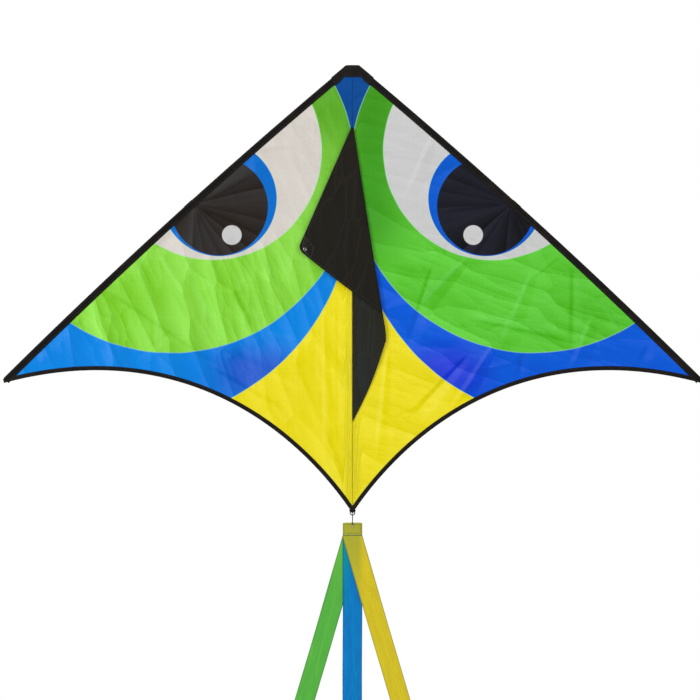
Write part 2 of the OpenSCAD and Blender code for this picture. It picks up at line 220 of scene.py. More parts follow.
# ---------------------------------------------------------------- node work
class Bench:
    """Adds nodes to one tree and joins them as they are added."""

    def __init__(self, tree):
        self.tree = tree

    def add(self, kind, values=(), out=0, **settings):
        node = self.tree.nodes.new(kind)
        for key, value in settings.items():
            setattr(node, key, value)
        pairs = values.items() if isinstance(values, dict) else enumerate(values)
        for key, value in pairs:
            if isinstance(value, bpy.types.NodeSocket):
                self.tree.links.new(value, node.inputs[key])
            elif value is not None:
                node.inputs[key].default_value = value
        return node.outputs[out] if len(node.outputs) else node

    def sum(self, how, *values, clamp=False):
        return self.add("ShaderNodeMath", values, operation=how, use_clamp=clamp)

    def times(self, first, second):
        return self.sum("MULTIPLY", first, second)

    def less(self, first, second):
        return self.sum("SUBTRACT", first, second)

    def size(self, value):
        return self.sum("ABSOLUTE", value)

    def scaled_plus(self, value, amount, base, clamp=False):
        return self.sum("MULTIPLY_ADD", value, amount, base, clamp=clamp)

    def soft_step(self, value, low, high):
        return self.add("ShaderNodeMapRange", (value, low, high, 0.0, 1.0), interpolation_type="SMOOTHSTEP")

    def between(self, value, low, high, new_low, new_high):
        return self.add("ShaderNodeMapRange", (value, low, high, new_low, new_high))

    def dye(self, amount, first, second, how="MIX"):
        """Mixes two colours, each one a socket or a paint chart's three numbers."""
        first, second = (colour(*dye) if isinstance(dye, tuple) else dye for dye in (first, second))
        return self.add("ShaderNodeMix", {0: amount, 6: first, 7: second}, out=2, data_type="RGBA", blend_type=how)

    def noise(self, place, scale, detail=2.0, rough=0.5, warp=0.0):
        return self.add("ShaderNodeTexNoise", {"Vector": place, "Scale": scale, "Detail": detail,
                                               "Roughness": rough, "Distortion": warp})

    def vector(self, how, *values, out=0):
        return self.add("ShaderNodeVectorMath", values, out=out, operation=how)

    def stretch(self, place, x, y, z):
        return self.vector("MULTIPLY", place, (x, y, z))

    def scaled(self, place, amount):
        return self.add("ShaderNodeVectorMath", {0: place, "Scale": amount}, operation="SCALE")

    def axes(self, place, which):
        return [self.add("ShaderNodeSeparateXYZ", (place,), out="xyz".index(axis)) for axis in which]

    def group(self, shared, **values):
        node = self.tree.nodes.new("ShaderNodeGroup")
        node.node_tree = shared
        for key, value in values.items():
            if isinstance(value, bpy.types.NodeSocket):
                self.tree.links.new(value, node.inputs[key])
            else:
                node.inputs[key].default_value = value
        return node.outputs


def colour(r, g, b):
    """A colour from a paint chart, as the shader wants it."""
    def linear(c):
        c /= 255
        return c / 12.92 if c <= 0.04045 else ((c + 0.055) / 1.055) ** 2.4
    return (linear(r), linear(g), linear(b), 1.0)


def shared_effect(name, inputs, outputs, build):
    tree = bpy.data.node_groups.new(name, "ShaderNodeTree")
    for label, kind in inputs:
        tree.interface.new_socket(name=label, in_out="INPUT", socket_type=kind)
    for label, kind in outputs:
        tree.interface.new_socket(name=label, in_out="OUTPUT", socket_type=kind)
    start = tree.nodes.new("NodeGroupInput")
    end = tree.nodes.new("NodeGroupOutput")
    for label, value in build(Bench(tree), start.outputs).items():
        tree.links.new(value, end.inputs[label])
    return tree


NUMBER, PLACE, DYE = "NodeSocketFloat", "NodeSocketVector", "NodeSocketColor"


def build_weave(b, given):
    turn = b.sum("DIVIDE", 2 * pi, given["Pitch"])
    warp = b.sum("SINE", b.times(given["Across"], turn))
    weft = b.sum("SINE", b.times(given["Along"], turn))
    height = b.scaled_plus(b.times(warp, weft), 0.5, 0.5)
    grid = b.times(given["Pitch"], given["Grid"])
    lines = [b.sum("PINGPONG", given[key], grid) for key in ("Across", "Along")]
    near = [b.soft_step(b.sum("DIVIDE", line, grid), 0.07, 0.02) for line in lines]
    return {"Height": height, "Ripstop": b.sum("MAXIMUM", *near)}


def build_crumple_bump_and_shade(b, given):
    place = b.scaled(given["Place"], given["Scale"])
    wander = b.add("ShaderNodeTexNoise", {"Vector": place, "Scale": 0.9}, out=1)
    bent = b.vector("ADD", place, b.scaled(wander, 0.3))
    to_edge = b.add("ShaderNodeTexVoronoi", {"Vector": bent, "Scale": 1.0}, feature="DISTANCE_TO_EDGE")
    edges = b.soft_step(to_edge, 0.0, 0.07)
    # The height output is the bump of the crumples. The facet output is painted shade of folds: each cell has its own
    # brightness and grows lighter one way across it, stepping back at its edge. The crease output paints the cell
    # edges as lighter lines.
    cell = b.add("ShaderNodeTexVoronoi", {"Vector": bent, "Scale": 1.0}, out=1)
    from_middle = b.vector("SUBTRACT", bent, cell.node.outputs["Position"])
    tilt = b.vector("DOT_PRODUCT", from_middle, (1.0, 0.0, 0.35), out=1)
    facet_shade_ramp = b.between(tilt, -0.55, 0.55, -0.3, 0.8)
    facet_shade = b.scaled_plus(b.add("ShaderNodeSeparateColor", (cell,)), 0.5, facet_shade_ramp)
    fine = b.noise(place, 3.0, 3.0, 0.55)
    return {"Height": b.scaled_plus(fine, 0.35, edges), "Facet": facet_shade,
            "Crease": b.less(1.0, edges), "Soft": fine}


def build_handling(b, given):
    cloud = b.noise(given["Place"], 28.0, 4.0, 0.6)
    fine = b.noise(given["Place"], 420.0, 2.0, 0.6)
    mask = b.soft_step(b.scaled_plus(fine, 0.35, b.times(cloud, 0.8)), 0.48, 0.78)
    return {"Mask": b.times(mask, given["Amount"]), "Cloud": cloud}


def build_print_and_painted_light(b, given):
    """The printed picture: two large round eyes on green, over blue wings and a yellow belly. Painted light lies on
    top: a lighter left wing, a painted shadow patch that, with random drift, turns part of the blue violet, and
    painted shade of pleats in the pupils.
    """
    x, z = b.axes(given["Place"], "xz")
    from_seam = b.size(x)
    side = b.soft_step(x, -0.03, 0.03)
    flat = b.add("ShaderNodeCombineXYZ", (from_seam, 0.0, z))

    def outside(cx, cz, radius):
        return b.less(b.vector("DISTANCE", flat, (cx, 0.0, cz), out=1), radius)

    def inside(ring):
        return b.soft_step(ring, 0.0007, -0.0007)

    def beyond(ring):
        return b.less(1.0, inside(ring))

    def rim(ring):
        return b.soft_step(b.size(ring), 0.0016, 0.0002)

    wave = b.times(b.less(b.noise(given["Place"], 14.0, 1.0), 0.5), 0.003)
    eyelid = b.sum("ADD", outside(0.363, -0.2056, 0.368), wave)
    eyeball = b.sum("ADD", outside(0.2802, -0.1692, 0.2186), wave)
    iris = outside(0.2668, -0.2652, 0.1152)
    pupil = outside(0.2668, -0.2812, 0.0978)
    glint = outside(0.2414, -0.3380, 0.0196)
    belly = b.sum("ADD", outside(0.4458, -0.2692, 0.4438), wave)
    lower = b.soft_step(z, -0.215, -0.225)
    nose = b.soft_step(z, -0.16, -0.11)
    drift = b.less(b.noise(given["Place"], 5.0, 2.0), 0.5)

    # Painted light: each colour comes as a lighter left-wing copy and a darker right-wing copy, mixed by side, as if
    # more light fell on the left wing.
    blue = b.dye(side, (0, 134, 230), (0, 92, 222))
    violet = b.dye(side, (48, 88, 205), (48, 62, 220))
    shadow_x = b.soft_step(b.size(b.less(from_seam, 0.19)), 0.13, 0.02)
    shadow_z = b.soft_step(b.size(b.sum("ADD", z, 0.615)), 0.085, 0.01)
    violet_part = b.scaled_plus(drift, 0.8, b.times(shadow_x, shadow_z), clamp=True)
    blue = b.dye(b.times(violet_part, 0.85), blue, violet)
    blue = b.dye(nose, blue, (0, 74, 150))
    yellow = b.dye(b.scaled_plus(drift, 1.2, 0.5, clamp=True), (247, 232, 34), (234, 220, 36))
    green = b.dye(side, (128, 210, 46), (90, 198, 50))
    fresh = b.dye(side, (150, 226, 84), (104, 212, 62))
    green = b.dye(b.scaled_plus(drift, 1.6, 0.45, clamp=True), green, fresh)
    green = b.dye(b.times(b.soft_step(z, -0.22, -0.08), 0.7), green, (82, 162, 18))
    inner = b.times(b.soft_step(from_seam, 0.15, 0.04), b.soft_step(z, -0.42, -0.30))
    green = b.dye(b.times(inner, b.scaled_plus(side, 0.45, 0.3)), green, (52, 142, 22))
    white = b.dye(side, (216, 210, 202), (206, 207, 206))
    # Painted shade of radial pleats in the pupil: sectors fanning out from the spreader's end, each lighter or darker,
    # browner and lighter on the left wing.
    ray = b.sum("ARCTAN2", b.sum("ADD", z, 0.276), b.less(0.318, from_seam))
    fan = b.scaled_plus(drift, 0.5, b.scaled_plus(ray, 4.4, b.times(side, 7.3)))
    pleat_shade = b.add("ShaderNodeTexWhiteNoise", {"W": b.sum("FLOOR", fan)}, noise_dimensions="1D")
    pleat_shade = b.scaled_plus(b.sum("FRACT", fan), 0.45, b.times(pleat_shade, 0.7), clamp=True)
    black = b.dye(side, b.dye(pleat_shade, (32, 22, 14), (56, 54, 54)),
                  b.dye(pleat_shade, (9, 9, 11), (32, 34, 46)))

    under = b.times(beyond(belly), lower)
    body = b.dye(under, blue, yellow)
    body = b.dye(inside(eyelid), body, green)
    body = b.dye(inside(eyeball), body, white)
    body = b.dye(inside(iris), body, b.dye(side, (0, 110, 206), (0, 92, 210)))
    body = b.dye(inside(pupil), body, black)
    body = b.dye(inside(glint), body, (206, 205, 206))
    halo = b.times(rim(b.less(iris, 0.0012)), 0.8)
    line = b.sum("MAXIMUM", rim(eyelid), b.sum("MAXIMUM", rim(eyeball), b.times(rim(belly), lower)))
    line = b.sum("MAXIMUM", b.times(line, beyond(iris)), halo)
    return {"Color": body, "Line": line, "Ink": b.times(inside(pupil), beyond(glint)), "Belly": under}


def numbers(*labels):
    return [(label, NUMBER) for label in labels]


weave_effect = shared_effect("Woven threads", numbers("Across", "Along", "Pitch", "Grid"),
                             numbers("Height", "Ripstop"), build_weave)
crumple_bump_and_shade = shared_effect("Crumpled cloth bump and painted shade", [("Place", PLACE), ("Scale", NUMBER)],
                               numbers("Height", "Facet", "Crease", "Soft"), build_crumple_bump_and_shade)
handling_effect = shared_effect("Handling marks", [("Place", PLACE), ("Amount", NUMBER)],
                                numbers("Mask", "Cloud"), build_handling)
print_and_painted_light_effect = shared_effect("Eye print and painted light", [("Place", PLACE)],
                             [("Color", DYE)] + numbers("Line", "Ink", "Belly"), build_print_and_painted_light)


def finish_of(name, build, **surface):
    """A material whose shader stays here; build joins its colour, roughness and bump."""
    material = bpy.data.materials.new(name)
    material.use_nodes = True
    tree = material.node_tree
    tree.nodes.clear()
    b = Bench(tree)
    shader = b.add("ShaderNodeBsdfPrincipled").node
    b.add("ShaderNodeOutputMaterial", {0: shader.outputs[0]})
    for key, value in surface.items():
        shader.inputs[key.replace("_", " ")].default_value = value
    made = build(b)
    for key, value in made.items():
        if key == "Height":
            depth, height = value
            bump = b.add("ShaderNodeBump", {"Height": height, "Distance": depth, "Strength": 1.0})
            tree.links.new(bump, shader.inputs["Normal"])
        elif isinstance(value, bpy.types.NodeSocket):
            tree.links.new(value, shader.inputs[key])
        else:
            shader.inputs[key].default_value = value
    return material


def attribute(b, name, out=0):
    """A value that the mesh carries; output 0 is a vector and 2 a number."""
    node = b.add("ShaderNodeAttribute", attribute_name=name).node
    return node.outputs["Vector"] if out == 0 else node.outputs["Fac"]


def printed_cloth(b):
    place = attribute(b, "rest")
    x, z = b.axes(place, "xz")
    side = b.soft_step(x, -0.02, 0.02)
    threads = b.group(weave_effect, Across=x, Along=z, Pitch=0.0006, Grid=9.0)

    def leaning(left, right):
        """Distance along a direction that differs between the two wings."""
        far = [b.vector("DOT_PRODUCT", place, way, out=1) for way in (left, right)]
        return b.add("ShaderNodeMix", {0: side, 2: far[0], 3: far[1]}, data_type="FLOAT")

    across = leaning((1.45, 0.0, 0.62), (0.45, 0.0, 1.50))
    along = leaning((0.20, 0.0, -0.42), (0.40, 0.0, -0.13))
    grain = b.add("ShaderNodeCombineXYZ", (across, 0.0, along))
    folds = b.group(crumple_bump_and_shade, Place=grain, Scale=14.0)
    small = b.group(crumple_bump_and_shade, Place=b.vector("ADD", grain, (0.31, 0.2, 0.17)), Scale=38.0)
    print_with_painted_light = b.group(print_and_painted_light_effect, Place=place)
    # How strong the folds are, both as bump and as painted shade: strongest below the eyes and weaker on the blue, the
    # belly, the right wing and the pupils.
    crease_bump_and_shade_part = b.between(b.soft_step(z, -0.28, -0.40), 0.0, 1.0, 0.38, 1.0)
    green, blue = (b.add("ShaderNodeSeparateColor", (print_with_painted_light["Color"],), out=i) for i in (1, 2))
    on_blue = b.soft_step(b.less(green, blue), 0.25, 0.05)
    for calm_part, left_over in ((on_blue, 0.50), (print_with_painted_light["Belly"], 0.35), (side, 0.70), (print_with_painted_light["Ink"], 0.30)):
        crease_bump_and_shade_part = b.times(crease_bump_and_shade_part, b.between(calm_part, 0.0, 1.0, 1.0, left_over))
    patchy = b.soft_step(b.noise(place, 7.0, 1.0), 0.36, 0.62)
    small_facet_shade = b.times(b.less(small["Facet"], 0.5), b.times(patchy, 0.20))
    fold_facet_shade = b.scaled_plus(b.less(folds["Facet"], 0.5), 0.34, small_facet_shade)
    # Painted shade of the folds: facet shading, the painted fold shade kept on the sail's points, lighter crease lines
    # and soft noise, doubled in the pupils. The result makes the print lighter and paler, or darker and more
    # saturated.
    light = b.scaled_plus(fold_facet_shade, crease_bump_and_shade_part, attribute(b, "painted_fold_shade", 2))
    light = b.scaled_plus(b.times(small["Crease"], patchy), b.times(crease_bump_and_shade_part, 0.08), light)
    light = b.scaled_plus(b.less(folds["Soft"], 0.5), 0.16, light)
    light = b.times(light, b.between(print_with_painted_light["Ink"], 0.0, 1.0, 1.0, 2.0))
    lit = b.add("ShaderNodeHueSaturation", {"Value": b.between(light, -0.5, 0.5, 0.58, 1.42),
                                            "Saturation": b.between(light, -0.5, 0.5, 1.09, 0.91),
                                            "Color": print_with_painted_light["Color"]})
    edged = b.dye(b.times(print_with_painted_light["Line"], 0.40), lit, (180, 240, 190))
    seam = b.soft_step(b.size(x), 0.0011, 0.0003)
    edged = b.dye(b.times(seam, 0.45), edged, (46, 60, 40))
    faint = b.dye(b.times(threads["Ripstop"], 0.05), edged, (20, 20, 30))
    rough = b.between(folds["Soft"], 0.2, 0.8, 0.5, 0.66)
    height = b.scaled_plus(threads["Height"], 0.05, b.times(threads["Ripstop"], 0.05))
    height = b.scaled_plus(folds["Height"], crease_bump_and_shade_part, height)
    height = b.scaled_plus(small["Height"], b.times(patchy, 0.35), height)
    return {"Base Color": faint, "Roughness": rough, "Height": (0.0009, height)}


def dark_cloth(base, light, brown, pitch, folded=1.0):
    def build(b):
        place = attribute(b, "rest")
        threads = b.group(weave_effect, Across=attribute(b, "across", 2), Along=attribute(b, "run", 2),
                          Pitch=pitch, Grid=6.0)
        marks = b.group(handling_effect, Place=place, Amount=0.5)
        folds = b.group(crumple_bump_and_shade, Place=place, Scale=36.0)
        shade = b.dye(threads["Height"], base, light)
        shade = b.dye(b.soft_step(marks["Cloud"], 0.4, 0.7), shade, brown)
        shade = b.dye(b.times(marks["Mask"], 0.16), shade, (84, 80, 76))
        height = b.scaled_plus(threads["Height"], 0.3, b.times(folds["Height"], folded))
        return {"Base Color": shade, "Roughness": b.between(marks["Cloud"], 0.3, 0.7, 0.58, 0.8),
                "Height": (0.0004, height)}
    return build


def keel_cloth(b):
    place = attribute(b, "rest")
    across, run = attribute(b, "across", 2), attribute(b, "run", 2)
    x, z = b.axes(place, "xz")
    threads = b.group(weave_effect, Across=x, Along=z, Pitch=0.0007, Grid=8.0)
    folds = b.group(crumple_bump_and_shade, Place=b.stretch(place, 1.6, 0.0, 0.5), Scale=22.0)
    under = b.soft_step(run, 0.46, 0.40)
    shade = b.dye(under, (22, 21, 14), (37, 41, 36))
    # Painted shade and highlight of the folds: darker brown facet shading and lighter crease lines.
    shade = b.dye(b.between(folds["Facet"], 0.0, 1.0, 0.0, 0.5), shade, (34, 27, 16))
    shade = b.dye(b.times(folds["Crease"], 0.10), shade, (56, 52, 48))
    hem = b.soft_step(across, 0.0072, 0.0064)
    step = b.soft_step(b.size(b.less(across, 0.0072)), 0.0012, 0.0)
    shade = b.dye(b.times(step, 0.5), shade, (18, 17, 16))
    height = b.scaled_plus(folds["Height"], 1.2, b.times(threads["Height"], 0.12))
    height = b.scaled_plus(hem, 0.7, height)
    return {"Base Color": shade, "Roughness": b.between(folds["Soft"], 0.2, 0.8, 0.5, 0.66),
            "Height": (0.0007, height)}


def ribbon_cloth(main, deep, fold_highlight, overlap_light_and_shade, overlap_light_and_shade_side):
    def build(b):
        x, = b.axes(attribute(b, "rest"), "x")
        across, run = attribute(b, "across", 2), attribute(b, "run", 2)
        threads = b.group(weave_effect, Across=across, Along=run, Pitch=0.0005, Grid=1000.0)
        lay = b.add("ShaderNodeCombineXYZ", (b.times(across, 9.0), 0.0, run))
        streak = b.noise(lay, 22.0, 3.0, 0.55)
        fold = b.noise(lay, 5.0, 2.0, 0.5, 1.0)
        shade = b.dye(b.soft_step(streak, 0.3, 0.7), main, deep)
        # Painted highlight: lighter bands from a fold noise stand for sheen on the ribbon's folds.
        shade = b.dye(b.times(b.soft_step(fold, 0.48, 0.66), 0.6), shade, fold_highlight)
        # Painted see-through light and shade: near the head, on the side where another ribbon overlaps, the colour
        # turns to the colour seen through both ribbons.
        over = b.times(b.soft_step(x, *overlap_light_and_shade_side), b.soft_step(run, 0.17, 0.0))
        shade = b.dye(b.times(over, 0.85), shade, overlap_light_and_shade)
        selvedge = b.soft_step(b.size(across), 0.0168, 0.0192)
        shade = b.dye(b.times(selvedge, 0.42), shade, (60, 62, 40), "MULTIPLY")
        height = b.sum("ADD", streak, b.scaled_plus(selvedge, 0.7, b.times(threads["Height"], 0.12)))
        return {"Base Color": shade, "Roughness": b.between(streak, 0.2, 0.8, 0.4, 0.55),
                "Height": (0.0005, height)}
    return build


def carbon_rod(*grain_stretch):
    def build(b):
        place = b.add("ShaderNodeTexCoord", out=3)
        grain = b.noise(b.stretch(place, *grain_stretch), 1.0, 3.0, 0.6)
        marks = b.group(handling_effect, Place=place, Amount=0.6)
        shade = b.dye(b.soft_step(grain, 0.35, 0.7), (22, 23, 26), (48, 50, 54))
        shade = b.dye(b.times(marks["Mask"], 0.4), shade, (104, 104, 106))
        return {"Base Color": shade, "Roughness": b.between(marks["Mask"], 0.0, 0.6, 0.28, 0.5),
                "Height": (0.00012, grain)}
    return build


def moulded(base, light, speckle, gloss):
    def build(b):
        place = b.add("ShaderNodeTexCoord", out=3)
        grain = b.noise(place, speckle, 3.0, 0.6)
        marks = b.group(handling_effect, Place=place, Amount=0.7)
        shade = b.dye(b.soft_step(grain, 0.35, 0.75), base, light)
        shade = b.dye(b.times(marks["Mask"], 0.45), shade, (98, 96, 92))
        return {"Base Color": shade, "Roughness": b.between(marks["Cloud"], 0.3, 0.7, gloss, gloss + 0.16),
                "Height": (0.00015, grain)}
    return build


def drawn_metal(base, light):
    def build(b):
        place = b.add("ShaderNodeTexCoord", out=3)
        scratch = b.noise(b.stretch(place, 900, 900, 120), 1.0, 3.0, 0.6)
        marks = b.group(handling_effect, Place=place, Amount=0.8)
        shade = b.dye(b.soft_step(scratch, 0.3, 0.7), base, light)
        shade = b.dye(b.times(marks["Mask"], 0.5), shade, (120, 112, 100))
        rough = b.between(marks["Cloud"], 0.3, 0.7, 0.2, 0.38)
        return {"Base Color": shade, "Metallic": 1.0, "Roughness": rough, "Height": (0.00004, scratch)}
    return build


def spun_thread(base, light):
    def build(b):
        place = attribute(b, "rest")
        twist = b.add("ShaderNodeTexWave", {"Vector": place, "Scale": 900.0, "Distortion": 2.0}, out=1,
                      bands_direction="DIAGONAL")
        return {"Base Color": b.dye(twist, base, light), "Roughness": 0.7, "Height": (0.0001, twist)}
    return build


def dull(name, build, shine):
    return finish_of(name, build, Specular_IOR_Level=shine)


def dyed_ribbon(name, main, deep, fold_highlight, overlap_light_and_shade, overlap_light_and_shade_side):
    return dull(name, ribbon_cloth(main, deep, fold_highlight, overlap_light_and_shade, overlap_light_and_shade_side), 0.12)


print_finish = dull("Printed kite cloth", printed_cloth, 0.10)
webbing_finish = dull("Black edge webbing", dark_cloth((11, 10, 9), (25, 22, 20), (25, 19, 15), 0.0009), 0.12)
pocket_finish = dull("Black spine tape", dark_cloth((15, 15, 17), (34, 34, 37), (25, 24, 27), 0.0008, 1.6), 0.14)
keel_finish = dull("Black keel cloth", keel_cloth, 0.14)
thread_finish = finish_of("Black sewing thread", spun_thread((38, 36, 35), (74, 71, 68)))
pale_thread_finish = finish_of("Yellow sewing thread", spun_thread((132, 128, 44), (178, 172, 74)))
cord_finish = finish_of("Black loop cord", spun_thread((22, 20, 19), (52, 49, 46)))
spar_finish = finish_of("Carbon edge rod", carbon_rod(300, 900, 300))
spine_finish = finish_of("Carbon spine rod", carbon_rod(900, 900, 40))
spreader_finish = finish_of("Carbon spreader rod", carbon_rod(40, 900, 900))
cap_finish = finish_of("Black vinyl cap", moulded((28, 28, 30), (44, 44, 46), 900.0, 0.36))
fitting_finish = finish_of("Moulded black fitting", moulded((34, 34, 36), (50, 50, 52), 1400.0, 0.42))
metal_finish = finish_of("Bright eyelet", drawn_metal((176, 178, 182), (208, 209, 211)))
link_finish = finish_of("Blackened wire link", drawn_metal((58, 54, 50), (84, 80, 75)))
head_finish = dyed_ribbon("Folded ribbon head", (178, 178, 52), (163, 163, 47), (193, 190, 60),
                          (172, 173, 54), (-0.02, 0.0))
blue_finish = dyed_ribbon("Blue ribbon", (0, 130, 203), (0, 114, 188), (0, 144, 213),
                          (0, 146, 160), (0.006, -0.014))
yellow_finish = dyed_ribbon("Yellow ribbon", (221, 201, 38), (210, 190, 36), (228, 211, 38),
                            (170, 172, 52), (0.024, 0.010))
green_finish = dyed_ribbon("Green ribbon", (92, 187, 70), (84, 177, 66), (112, 201, 72),
                           (112, 190, 70), (-0.06, -0.01))

# ---------------------------------------------------------------- folds in the sail
# Each crease: from, to, half width, height. A positive height stands towards the back.
STEEP_SIDE = 2.6
LEFT_CREASES = [
    ((-0.315, -0.278), (-0.185, -0.205), 0.022, 0.0040), ((-0.315, -0.278), (-0.165, -0.262), 0.020, -0.0030),
    ((-0.315, -0.278), (-0.185, -0.335), 0.024, 0.0042), ((-0.315, -0.278), (-0.245, -0.392), 0.022, -0.0036),
    ((-0.315, -0.278), (-0.325, -0.425), 0.024, 0.0044), ((-0.315, -0.278), (-0.405, -0.375), 0.022, -0.0038),
    ((-0.315, -0.278), (-0.425, -0.315), 0.018, 0.0030), ((-0.430, -0.170), (-0.110, -0.158), 0.020, 0.0028),
    ((-0.260, -0.090), (-0.100, -0.250), 0.026, -0.0030), ((-0.470, -0.300), (-0.380, -0.500), 0.024, 0.0042),
    ((-0.420, -0.330), (-0.300, -0.540), 0.026, -0.0048), ((-0.330, -0.400), (-0.235, -0.600), 0.026, 0.0052),
    ((-0.255, -0.410), (-0.170, -0.560), 0.022, -0.0040), ((-0.500, -0.440), (-0.200, -0.640), 0.024, 0.0056),
    ((-0.200, -0.340), (-0.110, -0.500), 0.022, 0.0040), ((-0.560, -0.500), (-0.470, -0.600), 0.030, -0.0036),
    ((-0.630, -0.565), (-0.600, -0.640), 0.030, 0.0030), ((-0.480, -0.480), (-0.450, -0.630), 0.028, 0.0032),
    ((-0.400, -0.500), (-0.390, -0.650), 0.026, -0.0030), ((-0.300, -0.590), (-0.120, -0.690), 0.020, 0.0036),
    ((-0.260, -0.570), (-0.110, -0.640), 0.018, -0.0030), ((-0.200, -0.620), (-0.090, -0.740), 0.018, 0.0030),
    ((-0.060, -0.480), (-0.050, -0.780), 0.016, 0.0026), ((-0.030, -0.440), (-0.028, -0.760), 0.012, -0.0018),
]
RIGHT_CREASES = [
    ((0.225, -0.388), (0.137, -0.478), 0.022, 0.0058), ((0.273, -0.430), (0.399, -0.474), 0.020, -0.0044),
    ((0.237, -0.504), (0.429, -0.544), 0.020, 0.0050), ((0.441, -0.378), (0.441, -0.564), 0.018, -0.0040),
    ((0.463, -0.456), (0.500, -0.520), 0.010, 0.0026), ((0.485, -0.462), (0.525, -0.528), 0.010, -0.0024),
    ((0.508, -0.478), (0.545, -0.536), 0.010, 0.0026), ((0.315, -0.278), (0.200, -0.190), 0.026, 0.0040),
    ((0.315, -0.278), (0.165, -0.300), 0.022, -0.0034), ((0.315, -0.278), (0.230, -0.385), 0.024, 0.0042),
    ((0.315, -0.278), (0.360, -0.400), 0.022, -0.0038), ((0.315, -0.278), (0.420, -0.340), 0.020, 0.0034),
    ((0.330, -0.130), (0.150, -0.230), 0.026, -0.0034), ((0.440, -0.230), (0.240, -0.120), 0.024, 0.0034),
    ((0.180, -0.090), (0.110, -0.260), 0.020, 0.0028), ((0.360, -0.410), (0.300, -0.560), 0.026, 0.0036),
    ((0.160, -0.400), (0.110, -0.560), 0.020, -0.0034), ((0.480, -0.500), (0.430, -0.640), 0.030, 0.0036),
    ((0.590, -0.560), (0.560, -0.640), 0.030, -0.0030), ((0.280, -0.560), (0.200, -0.690), 0.024, 0.0042),
    ((0.340, -0.570), (0.330, -0.660), 0.026, -0.0034), ((0.230, -0.580), (0.120, -0.700), 0.022, -0.0040),
    ((0.070, -0.560), (0.050, -0.780), 0.016, 0.0026), ((0.024, -0.460), (0.020, -0.720), 0.009, -0.0012),
]


def creased(x, z, creases):
    """Height of straight folds: each is a tent with sharp crest and feet that dies out at its ends."""
    height = np.zeros_like(x)
    for (ax, az), (bx, bz), reach, rise in creases:
        dx, dz = bx - ax, bz - az
        long = hypot(dx, dz)
        t = ((x - ax) * dx + (z - az) * dz) / long ** 2
        off = ((z - az) * dx - (x - ax) * dz) / long
        wide = reach * (0.45 + 0.75 * np.clip(t, 0, 1))
        steep = np.where(off > 0, 1.0, STEEP_SIDE)
        tent = np.clip(1 - (np.sqrt((off * steep) ** 2 + 1e-6) - 1e-3) / wide, 0, 1)
        height += rise * tent * ease(-0.06, 0.22, t) * ease(1.12, 0.7, t)
    return height


def small_creases(side, count):
    """Scattered short folds left by packing, always the same ones for each wing."""
    seed, mean_lean = {"left": (11, -64), "right": (23, -20)}[side]
    dice = np.random.default_rng(seed)
    sign = SIGN[side]
    folds = []
    for _ in range(count):
        x = 0.04 + 0.58 * dice.random()
        z = -0.08 - 0.72 * dice.random()
        lean = radians(mean_lean + 28 * dice.normal())
        long = 0.035 + 0.08 * dice.random()
        folds.append(((sign * x, z), (sign * x + long * cos(lean), z + long * sin(lean)),
                      0.009 + 0.014 * dice.random(), float(dice.choice((-1, 1))) * (0.0006 + 0.0011 * dice.random())))
    return folds


FOLDS = {"left": LEFT_CREASES + small_creases("left", 70), "right": RIGHT_CREASES + small_creases("right", 70)}
trail_line = trailing(np.linspace(0, 1, 400), 0.004)
FRONT_LIMIT = -0.0009


def cloth_depth(side, x, z):
    """How far the cloth stands behind its flat plane, from its seams, creases and slack."""
    flat_x = np.abs(x)
    slack = 0.0030 * ripple(x, z, 0.16, 1.7) + 0.0012 * ripple(x, z, 0.055, 4.1)
    depth = creased(x, z, FOLDS[side]) + slack + 0.0008
    low = np.interp(flat_x, trail_line[:, 0], trail_line[:, 1])
    high = np.minimum(edge_height(flat_x, 0.012), -0.003)
    depth *= ease(0.004, 0.05, flat_x) * ease(0.0, 0.035, z - low) * ease(0.0, 0.030, high - z)
    keel_zone = ease(-0.09, -0.15, z) * ease(-0.74, -0.70, z) * ease(0.14, 0.10, flat_x)
    depth = np.clip(depth, -0.0055, 0.0078)
    beside_keel = depth * (1 - keel_zone) + np.maximum(depth, FRONT_LIMIT) * keel_zone
    depth = np.where(depth < FRONT_LIMIT, beside_keel, depth)
    return depth + 0.0006 * ease(0.0016, 0.0, flat_x)


def sail(side):
    """One wing's cloth, from the middle seam out to the tip, with its folds."""
    bm = bmesh.new()
    painted_fold_shade = bm.verts.layers.float.new("painted_fold_shade")
    sign = SIGN[side]
    found = {}

    def shape(u, v):
        x = CLOTH_REACH * np.where(u < 0.03, u * 0.45, u - 0.0165 * (1 - u) / 0.97)
        low = np.interp(x, trail_line[:, 0], trail_line[:, 1])
        high = np.minimum(edge_height(x, 0.007), -0.001)
        z = low + (high - low) * v
        top = v > 0.999
        order = np.argsort(x[top])
        columns = np.unique(np.round(x, 6))
        heights = np.interp(columns, x[top][order], (high - low)[top][order])
        found["area"] = float(np.sum((heights[1:] + heights[:-1]) / 2 * np.diff(columns)))
        depth = cloth_depth(side, sign * x, z)
        # Painted fold shade: the creases' slope along one fixed slant, lighter where the cloth tilts one way and
        # darker where it tilts the other, kept on the points for the shader.
        near = 0.0032
        rise_x = cloth_depth(side, sign * x + near, z) - cloth_depth(side, sign * x - near, z)
        rise_z = cloth_depth(side, sign * x, z + near) - cloth_depth(side, sign * x, z - near)
        to_light = (0.8 * rise_x - 0.75 * rise_z) / (2 * near)
        found["painted_fold_shade"] = np.clip(to_light * 0.55, -0.26, 0.26)
        return np.stack([sign * x, depth, z], 1), z, x

    made = spread_out(bm, 204, 196, shape)
    for vert, value in zip(made, found["painted_fold_shade"]):
        vert[painted_fold_shade] = value
    if side == "left":
        bmesh.ops.reverse_faces(bm, faces=bm.faces)
    piece = make("sail_cloth_" + side, bm, [print_finish],
                 ["sail_" + side] + (["center_seam"] if side == "right" else []), wall=0.0005)
    piece["flat_area"] = found["area"]
    bend_beside_spine(piece, side)
    return piece


